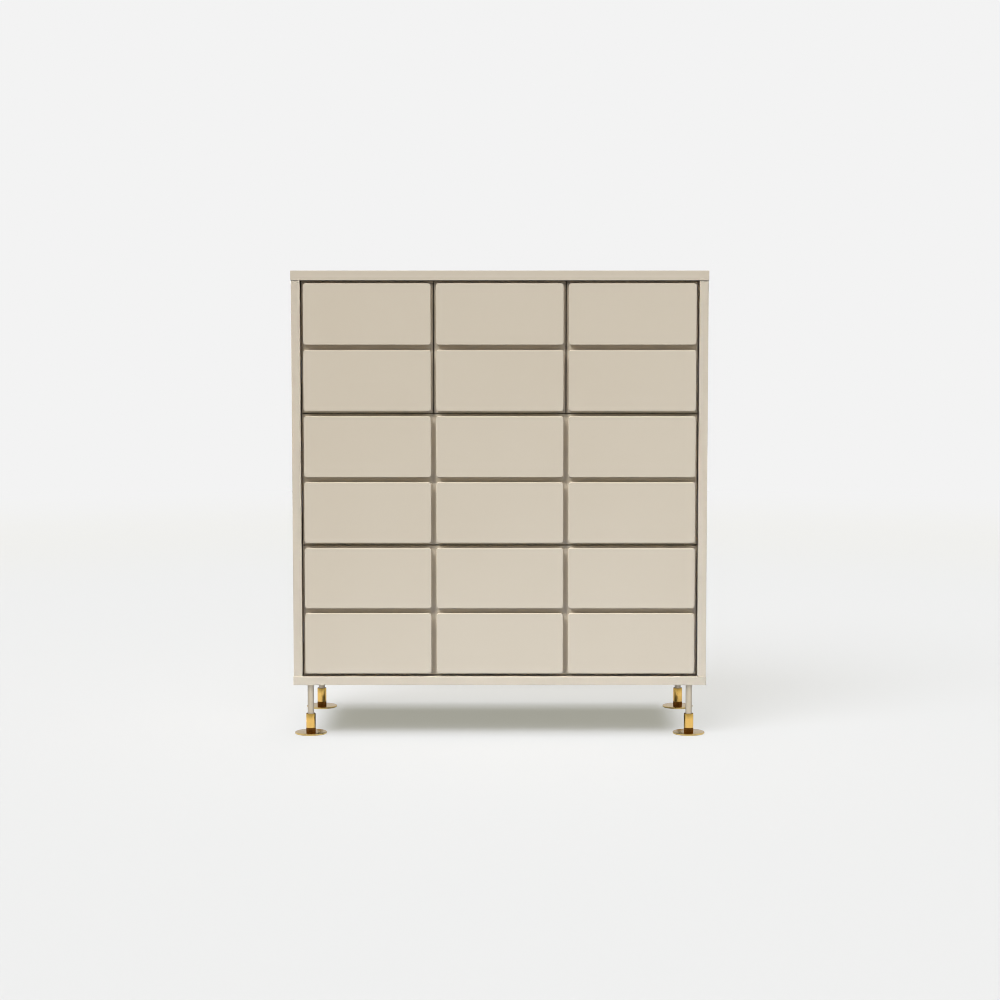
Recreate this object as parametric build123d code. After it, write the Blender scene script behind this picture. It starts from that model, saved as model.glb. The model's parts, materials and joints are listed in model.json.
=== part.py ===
from build123d import *
import os
from dataclasses import dataclass
from math import cos, radians, sin, sqrt

# Chest of drawers on four brass feet. Millimetres, floor at Z = 0, front towards -Y.

# Drawers in each tier, from the top down and from left to right
LAYOUT = [["upper_left", "upper_middle", "upper_right"], ["middle"], ["lower"]]
TIERS = len(LAYOUT)
COLUMNS = max(len(names) for names in LAYOUT)
SIDES = {"left": -1, "right": 1}

# Carcass
WIDTH = 900.0  # ends of the top and bottom panels
DEPTH = 400.0  # front edge to rear edge of the top panel
BODY_HEIGHT = 900.0  # underside of the bottom panel to the top face
LEG_HEIGHT = 112.5  # floor to the underside of the bottom panel
TOP_THICKNESS = 21.0
PANEL = 19.0  # thickness of the other lacquered boards
REVEAL = 1.0  # sides and drawer fronts stand back this far from the edges of the top
EDGE_ROUND = 0.8  # eased edges of the lacquered boards
BACK_THICKNESS = 6.0
BACK_SETBACK = 2.0  # rear face of the back panel inside the rear edges
REBATE_WIDTH = 10.0  # bite of the back panel's rebate into each board
BACK_CLEARANCE = 0.5  # round the edge of the back panel

# Drawer fronts
PAD_ROWS = 2  # rows of pads on each front
FRONT_THICKNESS = 25.0
FRAME_GAP = 2.0  # between the fronts and the carcass round them
DRAWER_GAP = 2.5  # between one front and the next
LEDGE = 4.5  # milled step round the edge of each front
GROOVE_DEPTH = 12.0
PAD_CORNER = 6.0  # corner radius of a pad, seen from the front
PAD_EDGE = 0.7  # rounded edge of a pad's face
GROOVE = 2 * LEDGE + DRAWER_GAP  # keeps every pad the same distance from the next

# Drawer boxes
BOX_LIFT = 22.0  # lower edge of the box above the lower edge of the front
BOX_DROP = 41.0  # upper edge of the box below the upper edge of the front
BOX_REAR_GAP = 10.0  # rear end of the box to the back panel
BOX_WALL = 12.0
BOX_BOTTOM = 6.0
BOTTOM_RISE = 10.0  # underside of the box bottom above the lower edge of the sides
HOUSING = 6.0  # how far the sides and the bottom reach into the front
DADO = 4.0  # how far the back and the bottom reach into the sides
BACK_INSET = 4.0  # the sides run past the box back by this much
JOINT_CLEARANCE = 0.1

# Push latches, on the carcass walls just behind the drawer fronts
PRESS_TRAVEL = 2.5  # a closed drawer can be pressed in this far
PRESS_CLEARANCE = 0.3  # left between the pressed front and the plunger
LATCH_LENGTH = 60.0
LATCH_HEIGHT = 20.0
LATCH_CLEARANCE = 1.7  # between a latch and the drawer box that passes it
LATCH_LIFT = 10.0  # underside of the latch above the lower edge of the box
LATCH_ROUND = 2.0
PLUNGER_RADIUS = 3.0
PLUNGER_LENGTH = 40.0
PLUNGER_REACH = 8.0  # plunger tip in front of its housing
PLUNGER_TIP = 1.0  # rounding of the tip
PLUNGER_FIT = 0.05
PLUNGER_ROOM = 6.0  # empty bore behind the plunger

# Telescopic runners, three nested channels each
RUNNER_THICKNESS = 12.7
RUNNER_HEIGHT = 45.0
RUNNER_SHEET = 1.2
RUNNER_PLAY = 0.3  # between one channel and the next
RUNNER_SETBACK = 4.0  # front ends behind the rear face of the drawer front
RUNNER_REAR_GAP = 2.0  # rear ends before the rear end of the box
RUNNER_LATCH_GAP = 17.5  # underside of the runner above the latch
RUNNER_SCREW_INSET = 40.0  # screws from either end of a runner
RUNNER_SCREW_STAGGER = 12.0  # so that screws from both faces of a partition pass each other
RUNNER_SCREW_LENGTH = 13.0

# Dowels and screws
DOWEL_RADIUS = 4.0
DOWEL_LENGTH = 30.0
DOWEL_IN_FACE = 11.0  # part of the dowel in the face of a board, the rest in an end
DOWEL_ROOM = 1.0  # empty hole beyond each end of a dowel
DOWEL_END = 50.0  # outer dowels from the ends of a joint
DOWELS_PER_JOINT = 3
FIT = 0.05  # radial clearance of dowels, screws, inserts and studs
SCREW_RADIUS = 1.75
SCREW_HEAD_RADIUS = 3.5
SCREW_HEAD = 1.6
SCREW_LENGTH = 15.0
SCREWS_PER_EDGE = 4
SCREW_END = 60.0  # outer screws from the corners of the back panel

# Legs and feet
FOOT_INSET = 35.0  # leg centres from the edges of the bottom panel
POST_RADIUS = 7.0
STUD_RADIUS = 4.0
STUD_LENGTH = 12.0
INSERT_RADIUS = 6.0
INSERT_LENGTH = 14.0
DISC_RADIUS = 35.0
DISC_THICKNESS = 3.5
DISC_ROUND = 1.0  # upper edge
DISC_BEVEL = 1.0  # lower edge, so that the foot slides over a carpet
SLEEVE_RADIUS = 10.5
SLEEVE_HEIGHT = 41.0  # above the disc
RIM_RADIUS = 9.3  # counterbore round the post at the top of the sleeve
RIM_DEPTH = 4.0
RIM_ROUND = 0.6
BORE_FLOOR = 10.0  # solid metal below the bore of the foot
FOOT_TRAVEL = 10.0  # that a foot can be wound up its post
FOOT_ROOM = 0.3  # between the end of the post and the floor of the bore, with the foot wound right up
FOOT_FIT = 0.05
BAND_HEIGHT = 8.5  # knurled base of the sleeve, for turning the foot
BAND_GROOVE = 1.0  # turned groove above the band
KNURLS = 40
KNURL_DEPTH = 0.6

# Planes that the pieces share
BOTTOM_Z = LEG_HEIGHT
TOP_Z = LEG_HEIGHT + BODY_HEIGHT
INNER_Z0 = BOTTOM_Z + PANEL
INNER_Z1 = TOP_Z - TOP_THICKNESS
SIDE_X = WIDTH / 2 - REVEAL
INNER_X = SIDE_X - PANEL
EDGE_Y = -DEPTH / 2
FACE_Y = EDGE_Y + REVEAL
FRONT_BACK_Y = FACE_Y + FRONT_THICKNESS
REAR_Y = DEPTH / 2
BACK_Y1 = REAR_Y - BACK_SETBACK
BACK_Y0 = BACK_Y1 - BACK_THICKNESS
BOX_END_Y = BACK_Y0 - BOX_REAR_GAP
BOX_BACK_Y1 = BOX_END_Y - BACK_INSET
BOX_BACK_Y0 = BOX_BACK_Y1 - BOX_WALL
INSIDE_Y0 = FRONT_BACK_Y + RUNNER_SETBACK  # front ends of runners, shelf and partitions
RUNNER_Y1 = BOX_END_Y - RUNNER_REAR_GAP
FRONT_HEIGHT = (INNER_Z1 - INNER_Z0 - 2 * FRAME_GAP - (TIERS - 1) * DRAWER_GAP) / TIERS
FRONT_WIDTH = (2 * INNER_X - 2 * FRAME_GAP - (COLUMNS - 1) * DRAWER_GAP) / COLUMNS
LATCH_THICKNESS = RUNNER_THICKNESS - LATCH_CLEARANCE
RUNNER_RISE = LATCH_LIFT + LATCH_HEIGHT + RUNNER_LATCH_GAP + RUNNER_HEIGHT / 2
SLEEVE_TOP = DISC_THICKNESS + SLEEVE_HEIGHT


def tier_top(tier):
    return INNER_Z1 - FRAME_GAP - tier * (FRONT_HEIGHT + DRAWER_GAP)


def column_left(column):
    return -INNER_X + FRAME_GAP + column * (FRONT_WIDTH + DRAWER_GAP)


PARTITION_X = [column_left(column) - DRAWER_GAP / 2 for column in range(1, COLUMNS)]
SHELF_Z = tier_top(1) + DRAWER_GAP / 2  # middle of the shelf, level with the gap in front of it
SHELF_Z1 = SHELF_Z + PANEL / 2


@dataclass
class Drawer:
    name: str
    tier: int
    first: int  # first and last column of pads that it covers
    last: int

    @property
    def xs(self):
        return (column_left(self.first), column_left(self.last) + FRONT_WIDTH)

    @property
    def zs(self):
        return (tier_top(self.tier) - FRONT_HEIGHT, tier_top(self.tier))

    @property
    def box_zs(self):
        return (self.zs[0] + BOX_LIFT, self.zs[1] - BOX_DROP)

    @property
    def runner_z(self):
        return self.box_zs[0] + RUNNER_RISE

    @property
    def latch_z(self):
        return self.box_zs[0] + LATCH_LIFT + LATCH_HEIGHT / 2

    def wall(self, side):
        """X of the carcass wall beside the drawer, on the left (-1) or the right (1)."""
        left_end = self.first == 0
        right_end = self.last == COLUMNS - 1
        if (left_end and side < 0) or (right_end and side > 0):
            return side * INNER_X
        edge = self.xs[0] if side < 0 else self.xs[1]
        return edge + side * (DRAWER_GAP - PANEL) / 2

    def box_outside(self, side):
        return self.wall(side) - side * RUNNER_THICKNESS

    def box_inside(self, side):
        return self.box_outside(side) - side * BOX_WALL

    def bottom_xs(self, clearance):
        return tuple(self.box_inside(side) + side * (DADO - clearance) for side in SIDES.values())

    def bottom_zs(self, clearance):
        underside = self.box_zs[0] + BOTTOM_RISE
        return (underside - clearance, underside + BOX_BOTTOM + clearance)


def all_drawers():
    drawers = []
    for tier, names in enumerate(LAYOUT):
        span = COLUMNS // len(names)
        for index, name in enumerate(names):
            drawers.append(Drawer(name, tier, index * span, (index + 1) * span - 1))
    return drawers


DRAWERS = all_drawers()


def block(xs, ys, zs):
    """Box between two X, two Y and two Z planes, given in either order."""
    size = [abs(b - a) for a, b in (xs, ys, zs)]
    middle = [(a + b) / 2 for a, b in (xs, ys, zs)]
    return Pos(*middle) * Box(*size)


def rod(start, direction, radius, length):
    """Cylinder that runs from a point along a direction."""
    plane = Plane(origin=start, z_dir=direction)
    return plane * Cylinder(radius, length, align=(Align.CENTER, Align.CENTER, Align.MIN))


def spread(start, end, count):
    """Evenly spaced places from start to end."""
    step = (end - start) / (count - 1)
    return [start + i * step for i in range(count)]


def moved(point, direction, distance):
    return tuple(p + d * distance for p, d in zip(point, direction))


def turned_round(direction):
    return tuple(-d for d in direction)


def save(name, *solids):
    shape = solids[0] if len(solids) == 1 else Compound(children=list(solids))
    export_step(shape, os.path.join("parts", name + ".step"))


def dowel_joints():
    """A point on each doweled joint and the direction into the face of the other board."""
    outer_ys = spread(FACE_Y + DOWEL_END, REAR_Y - DOWEL_END, DOWELS_PER_JOINT)
    inner_ys = spread(INSIDE_Y0 + DOWEL_END, BACK_Y0 - DOWEL_END, DOWELS_PER_JOINT)
    joints = []
    for side in SIDES.values():
        middle_x = side * (SIDE_X + INNER_X) / 2
        for y in outer_ys:
            joints.append(((middle_x, y, INNER_Z1), (0, 0, 1)))
            joints.append(((middle_x, y, INNER_Z0), (0, 0, -1)))
        for y in inner_ys:
            joints.append(((side * INNER_X, y, SHELF_Z), (side, 0, 0)))
    for x in PARTITION_X:
        for y in inner_ys:
            joints.append(((x, y, INNER_Z1), (0, 0, 1)))
            joints.append(((x, y, SHELF_Z1), (0, 0, -1)))
    return joints


def dowel(joint, clearance=0.0, room=0.0):
    point, into_face = joint
    end = moved(point, into_face, DOWEL_IN_FACE + room)
    return rod(end, turned_round(into_face), DOWEL_RADIUS + clearance, DOWEL_LENGTH + 2 * room)


def back_screw_places():
    """X and Z of the back panel's screws, along the middle of its rebate's shoulder."""
    x_row = INNER_X + REBATE_WIDTH / 2
    z_rows = (INNER_Z0 - REBATE_WIDTH / 2, INNER_Z1 + REBATE_WIDTH / 2)
    up_the_sides = spread(z_rows[0] + SCREW_END, z_rows[1] - SCREW_END, SCREWS_PER_EDGE)
    along_the_ends = spread(SCREW_END - x_row, x_row - SCREW_END, SCREWS_PER_EDGE)
    places = [(side * x_row, z) for side in SIDES.values() for z in up_the_sides]
    return places + [(x, z) for z in z_rows for x in along_the_ends]


def back_screw(place, clearance=0.0):
    start = (place[0], BACK_Y1, place[1])
    shank = rod(start, (0, -1, 0), SCREW_RADIUS + clearance, SCREW_LENGTH + clearance)
    return shank + rod(start, (0, 1, 0), SCREW_HEAD_RADIUS, SCREW_HEAD)


def runner_screw_places():
    """A point on the wall for each runner screw and the direction into that wall."""
    places = []
    for drawer in DRAWERS:
        stagger = RUNNER_SCREW_STAGGER * (drawer.first % 2)
        inset = RUNNER_SCREW_INSET + stagger
        for side in SIDES.values():
            for y in (INSIDE_Y0 + inset, RUNNER_Y1 - inset):
                places.append(((drawer.wall(side), y, drawer.runner_z), (side, 0, 0)))
    return places


def runner_screw(place, clearance=0.0):
    point, into_wall = place
    reach = RUNNER_SCREW_LENGTH - RUNNER_SHEET + clearance
    shank = rod(point, into_wall, SCREW_RADIUS + clearance, reach)
    head = rod(point, turned_round(into_wall), SCREW_HEAD_RADIUS + clearance, RUNNER_SHEET)
    return shank + head


def leg_places():
    x = WIDTH / 2 - FOOT_INSET
    y = DEPTH / 2 - FOOT_INSET
    ends = {"front": -y, "rear": y}
    return {f"{end}_{side}": (sign * x, ends[end]) for end in ends for side, sign in SIDES.items()}


def make_carcass():
    dowel_holes = [dowel(joint, FIT, DOWEL_ROOM) for joint in dowel_joints()]
    back_screw_holes = [back_screw(place, FIT) for place in back_screw_places()]
    runner_screw_holes = [runner_screw(place, FIT) for place in runner_screw_places()]
    insert_holes = [leg_insert_blank(x, y, FIT) for x, y in leg_places().values()]
    rebate_x = INNER_X + REBATE_WIDTH
    rebate_zs = (INNER_Z0 - REBATE_WIDTH, INNER_Z1 + REBATE_WIDTH)
    rebate = block((-rebate_x, rebate_x), (BACK_Y0, REAR_Y), rebate_zs)
    outer_cuts = dowel_holes + back_screw_holes + [rebate]

    panel_xs = (-WIDTH / 2, WIDTH / 2)
    panel_ys = (EDGE_Y, REAR_Y)
    top = block(panel_xs, panel_ys, (INNER_Z1, TOP_Z))
    save("top_panel", fillet(top.edges(), EDGE_ROUND) - outer_cuts)
    bottom = block(panel_xs, panel_ys, (BOTTOM_Z, INNER_Z0))
    save("bottom_panel", fillet(bottom.edges(), EDGE_ROUND) - (outer_cuts + insert_holes))

    for name, side in SIDES.items():
        panel = block((side * INNER_X, side * SIDE_X), (FACE_Y, REAR_Y), (INNER_Z0, INNER_Z1))
        front_edges = panel.edges().filter_by(Axis.Z).group_by(Axis.Y)[0]
        save(name + "_side_panel", fillet(front_edges, EDGE_ROUND) - (outer_cuts + runner_screw_holes))

    inside_ys = (INSIDE_Y0, BACK_Y0)
    shelf = block((-INNER_X, INNER_X), inside_ys, (SHELF_Z - PANEL / 2, SHELF_Z1))
    front_edges = shelf.edges().filter_by(Axis.X).group_by(Axis.Y)[0]
    save("drawer_shelf", fillet(front_edges, EDGE_ROUND) - dowel_holes)
    for name, x in zip(SIDES, PARTITION_X):
        partition = block((x - PANEL / 2, x + PANEL / 2), inside_ys, (SHELF_Z1, INNER_Z1))
        front_edges = partition.edges().filter_by(Axis.Z).group_by(Axis.Y)[0]
        save(name + "_partition", fillet(front_edges, EDGE_ROUND) - (dowel_holes + runner_screw_holes))

    reach = REBATE_WIDTH - BACK_CLEARANCE
    back_x = INNER_X + reach
    back = block((-back_x, back_x), (BACK_Y0, BACK_Y1), (INNER_Z0 - reach, INNER_Z1 + reach))
    save("back_panel", back - back_screw_holes)

    save("wooden_dowels", *[dowel(joint) for joint in dowel_joints()])
    save("back_panel_screws", *[back_screw(place) for place in back_screw_places()])
    save("runner_screws", *[runner_screw(place) for place in runner_screw_places()])


def leg_insert_blank(x, y, clearance=0.0):
    return rod((x, y, BOTTOM_Z), (0, 0, 1), INSERT_RADIUS + clearance, INSERT_LENGTH + clearance)


def make_legs():
    up = (0, 0, 1)
    post_z0 = BORE_FLOOR + FOOT_TRAVEL + FOOT_ROOM
    posts = []
    inserts = []
    for x, y in leg_places().values():
        seat = (x, y, BOTTOM_Z)
        shaft = rod((x, y, post_z0), up, POST_RADIUS, BOTTOM_Z - post_z0)
        posts.append(shaft + rod(seat, up, STUD_RADIUS, STUD_LENGTH))
        inserts.append(leg_insert_blank(x, y) - rod(seat, up, STUD_RADIUS + FIT, INSERT_LENGTH))
    save("leg_posts", *posts)
    save("leg_inserts", *inserts)


def band_cuts():
    """Upright V grooves round the base of a sleeve, and the turned groove above them."""
    side = KNURL_DEPTH * sqrt(2)
    cutter = Box(side, side, BAND_HEIGHT)
    band_z = DISC_THICKNESS + BAND_HEIGHT
    cuts = []
    for i in range(KNURLS):
        angle = 360.0 * i / KNURLS
        x = SLEEVE_RADIUS * cos(radians(angle))
        y = SLEEVE_RADIUS * sin(radians(angle))
        cuts.append(Pos(x, y, band_z - BAND_HEIGHT / 2) * Rot(0, 0, angle + 45) * cutter)
    outer = rod((0, 0, band_z), (0, 0, 1), SLEEVE_RADIUS + KNURL_DEPTH, BAND_GROOVE)
    inner = rod((0, 0, band_z), (0, 0, 1), SLEEVE_RADIUS - KNURL_DEPTH, BAND_GROOVE)
    return cuts + [outer - inner]


def make_feet():
    up = (0, 0, 1)
    disc = rod((0, 0, 0), up, DISC_RADIUS, DISC_THICKNESS)
    disc = fillet(disc.edges().sort_by(Axis.Z)[-1], DISC_ROUND)
    disc = chamfer(disc.edges().sort_by(Axis.Z)[0], DISC_BEVEL)
    sleeve = rod((0, 0, DISC_THICKNESS), up, SLEEVE_RADIUS, SLEEVE_HEIGHT)
    sleeve = fillet(sleeve.edges().sort_by(Axis.Z)[-1], RIM_ROUND)
    bore = rod((0, 0, BORE_FLOOR), up, POST_RADIUS + FOOT_FIT, SLEEVE_TOP - BORE_FLOOR)
    rim = rod((0, 0, SLEEVE_TOP - RIM_DEPTH), up, RIM_RADIUS, RIM_DEPTH)
    foot = disc + (sleeve - band_cuts()) - [bore, rim]
    for name, (x, y) in leg_places().items():
        save(name + "_foot", Pos(x, y, 0) * foot)


def pad(x, z, width, height):
    """Raised pad: rounded rectangle with a rounded edge round its face, from its lower left corner."""
    foot = (x + width / 2, FACE_Y + GROOVE_DEPTH, z + height / 2)
    plane = Plane(origin=foot, x_dir=(1, 0, 0), z_dir=(0, -1, 0))
    body = extrude(plane * RectangleRounded(width, height, PAD_CORNER), GROOVE_DEPTH)
    return fillet(body.faces().sort_by(Axis.Y)[0].edges(), PAD_EDGE)


def make_front(drawer):
    columns = drawer.last - drawer.first + 1
    front = block(drawer.xs, (FACE_Y + GROOVE_DEPTH, FRONT_BACK_Y), drawer.zs)
    width = (drawer.xs[1] - drawer.xs[0] - 2 * LEDGE - (columns - 1) * GROOVE) / columns
    height = (FRONT_HEIGHT - 2 * LEDGE - (PAD_ROWS - 1) * GROOVE) / PAD_ROWS
    for column in range(columns):
        for row in range(PAD_ROWS):
            x = drawer.xs[0] + LEDGE + column * (width + GROOVE)
            z = drawer.zs[0] + LEDGE + row * (height + GROOVE)
            front += pad(x, z, width, height)

    housing_ys = (FRONT_BACK_Y - HOUSING - JOINT_CLEARANCE, FRONT_BACK_Y)
    housing_zs = (drawer.box_zs[0] - JOINT_CLEARANCE, drawer.box_zs[1] + JOINT_CLEARANCE)
    cuts = [block(drawer.bottom_xs(0.0), housing_ys, drawer.bottom_zs(JOINT_CLEARANCE))]
    for side in SIDES.values():
        outer = drawer.box_outside(side) + side * JOINT_CLEARANCE
        inner = drawer.box_inside(side) - side * JOINT_CLEARANCE
        cuts.append(block((outer, inner), housing_ys, housing_zs))
    return front - cuts


def make_side(drawer, side):
    inner = drawer.box_inside(side)
    ys = (FRONT_BACK_Y - HOUSING, BOX_END_Y)
    plain = block((drawer.box_outside(side), inner), ys, drawer.box_zs)
    groove_xs = (inner, inner + side * DADO)
    groove = block(groove_xs, ys, drawer.bottom_zs(JOINT_CLEARANCE))
    dado_ys = (BOX_BACK_Y0 - JOINT_CLEARANCE, BOX_BACK_Y1 + JOINT_CLEARANCE)
    dado = block(groove_xs, dado_ys, drawer.box_zs)
    return plain - [groove, dado]


def make_box_back(drawer):
    plain = block(drawer.bottom_xs(JOINT_CLEARANCE), (BOX_BACK_Y0, BOX_BACK_Y1), drawer.box_zs)
    groove_ys = (BOX_BACK_Y0, BOX_BACK_Y0 + DADO)
    return plain - block(drawer.bottom_xs(0.0), groove_ys, drawer.bottom_zs(JOINT_CLEARANCE))


def make_box_bottom(drawer):
    ys = (FRONT_BACK_Y - HOUSING, BOX_BACK_Y0 + DADO - JOINT_CLEARANCE)
    return block(drawer.bottom_xs(JOINT_CLEARANCE), ys, drawer.bottom_zs(0.0))


def channel(drawer, side, web, tip, half_height):
    """Runner member: a web and two flanges, measured from the carcass wall towards the box."""
    wall = drawer.wall(side)
    ys = (INSIDE_Y0, RUNNER_Y1)
    near, far = (wall - side * distance for distance in web)
    z = drawer.runner_z
    member = block((near, far), ys, (z - half_height, z + half_height))
    for edge in (-1, 1):
        flange_zs = (z + edge * half_height, z + edge * (half_height - RUNNER_SHEET))
        member += block((near, wall - side * tip), ys, flange_zs)
    return member


def make_runner(drawer, side):
    """Cabinet, middle and drawer member of one runner, each inside the one before."""
    step = RUNNER_SHEET + RUNNER_PLAY
    half = RUNNER_HEIGHT / 2
    cabinet = channel(drawer, side, (0, RUNNER_SHEET), RUNNER_THICKNESS - 2 * step, half)
    middle_web = (step, step + RUNNER_SHEET)
    middle = channel(drawer, side, middle_web, RUNNER_THICKNESS - step, half - step)
    drawer_web = (RUNNER_THICKNESS, RUNNER_THICKNESS - RUNNER_SHEET)
    inner = channel(drawer, side, drawer_web, 2 * step, half - 2 * step)
    return cabinet, middle, inner


def make_latch(drawer, side):
    """Latch housing on the wall and its plunger, which points at the rear of the drawer front."""
    wall = drawer.wall(side)
    x = wall - side * LATCH_THICKNESS / 2
    z = drawer.latch_z
    tip_y = FRONT_BACK_Y + PRESS_TRAVEL + PRESS_CLEARANCE
    face_y = tip_y + PLUNGER_REACH
    back = (0, 1, 0)
    zs = (z - LATCH_HEIGHT / 2, z + LATCH_HEIGHT / 2)
    housing = block((wall, wall - side * LATCH_THICKNESS), (face_y, face_y + LATCH_LENGTH), zs)
    housing = fillet(housing.edges().filter_by(Axis.X), LATCH_ROUND)
    bore_depth = PLUNGER_LENGTH - PLUNGER_REACH + PLUNGER_ROOM
    housing -= rod((x, face_y, z), back, PLUNGER_RADIUS + PLUNGER_FIT, bore_depth)
    plunger = rod((x, tip_y, z), back, PLUNGER_RADIUS, PLUNGER_LENGTH)
    plunger = fillet(plunger.edges().group_by(Axis.Y)[0], PLUNGER_TIP)
    return housing, plunger


def make_drawers():
    screw_holes = [runner_screw(place, FIT) for place in runner_screw_places()]
    cabinet_runners = []
    housings = []
    for drawer in DRAWERS:
        save(drawer.name + "_drawer_front", make_front(drawer))
        save(drawer.name + "_drawer_back", make_box_back(drawer))
        save(drawer.name + "_drawer_bottom", make_box_bottom(drawer))
        for name, side in SIDES.items():
            save(f"{drawer.name}_drawer_{name}_side", make_side(drawer, side))
        runners = [make_runner(drawer, side) for side in SIDES.values()]
        cabinet_runners += [cabinet - screw_holes for cabinet, middle, inner in runners]
        save(drawer.name + "_middle_runners", *[middle for cabinet, middle, inner in runners])
        save(drawer.name + "_drawer_runners", *[inner for cabinet, middle, inner in runners])
        latches = [make_latch(drawer, side) for side in SIDES.values()]
        housings += [housing for housing, plunger in latches]
        save(drawer.name + "_latch_plungers", *[plunger for housing, plunger in latches])
    save("cabinet_runners", *cabinet_runners)
    save("latch_housings", *housings)


os.makedirs("parts", exist_ok=True)
make_carcass()
make_legs()
make_feet()
make_drawers()
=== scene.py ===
import json
import math
import bmesh
import bpy
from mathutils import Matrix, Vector

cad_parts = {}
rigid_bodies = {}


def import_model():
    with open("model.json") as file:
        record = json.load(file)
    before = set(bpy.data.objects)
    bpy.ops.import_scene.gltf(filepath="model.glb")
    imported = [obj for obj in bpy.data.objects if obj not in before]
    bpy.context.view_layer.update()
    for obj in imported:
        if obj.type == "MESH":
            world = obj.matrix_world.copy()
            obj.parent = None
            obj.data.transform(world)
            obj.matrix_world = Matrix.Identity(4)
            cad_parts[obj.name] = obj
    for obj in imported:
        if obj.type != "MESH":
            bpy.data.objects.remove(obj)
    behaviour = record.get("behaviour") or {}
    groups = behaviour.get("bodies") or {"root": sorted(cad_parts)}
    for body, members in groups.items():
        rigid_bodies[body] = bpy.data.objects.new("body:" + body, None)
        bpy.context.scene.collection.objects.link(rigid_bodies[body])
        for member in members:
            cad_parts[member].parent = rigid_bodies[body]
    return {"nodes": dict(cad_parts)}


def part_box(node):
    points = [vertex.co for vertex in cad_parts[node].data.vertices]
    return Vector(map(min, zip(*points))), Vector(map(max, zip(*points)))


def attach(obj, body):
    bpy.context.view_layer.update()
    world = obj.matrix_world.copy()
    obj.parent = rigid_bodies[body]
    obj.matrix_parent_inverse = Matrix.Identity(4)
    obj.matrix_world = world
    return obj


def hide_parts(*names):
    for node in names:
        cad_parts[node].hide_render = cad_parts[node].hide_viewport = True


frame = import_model()
for leftOver in ("Cube", "Light", "Camera"):  # an untouched start-up file holds these
    if leftOver in bpy.data.objects:
        bpy.data.objects.remove(bpy.data.objects[leftOver])
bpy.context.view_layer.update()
nodes = frame["nodes"]
scene = bpy.context.scene
scene.view_settings.view_transform = "Standard"
scene.cycles.filter_width = 1.0  # pixels, for edges as crisp as in the photograph
mm = 0.001  # the sizes below are in millimetres and degrees
drawers = ("upper_left", "upper_middle", "upper_right", "middle", "lower")
feet = ("front_left", "front_right", "rear_left", "rear_right")
print("frame loaded:", len(nodes), "nodes")


def linear(hexColour):  # sRGB hex to the linear colour that the shaders take
    parts = [int(hexColour[i:i + 2], 16) / 255 for i in (1, 3, 5)]
    return [c / 12.92 if c <= 0.04045 else ((c + 0.055) / 1.055) ** 2.4 for c in parts] + [1.0]


def addNode(tree, kind, values=None, links=None, **settings):
    node = tree.nodes.new(kind)
    for name, value in settings.items():
        setattr(node, name, value)
    for key, value in (values or {}).items():
        node.inputs[key].default_value = value
    for key, source in (links or {}).items():
        tree.links.new(source, node.inputs[key])
    return node


mixA, mixB, mixOut = 6, 7, 2  # the colour sockets of a Mix node

# Camera: where the photograph was taken from, a long lens at about the top's height, tilted down

photoCamera = dict(lens=87.216, sensor=36, tilt=5.265, place=(0.5, -5423.3, 999.2), farEnd=2000000)


def placeCamera(size):
    lens = bpy.data.cameras.new("photoCamera")
    lens.lens = size["lens"]
    lens.sensor_width = size["sensor"]
    lens.clip_end = size["farEnd"] * mm
    camera = bpy.data.objects.new("photoCamera", lens)
    camera.location = Vector(size["place"]) * mm
    camera.rotation_euler = (math.radians(90 - size["tilt"]), 0, 0)
    scene.collection.objects.link(camera)
    scene.camera = camera


placeCamera(photoCamera)
print("camera placed")

# Studio: pale paper underfoot, and soft suns that each light one set of pieces

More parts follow.
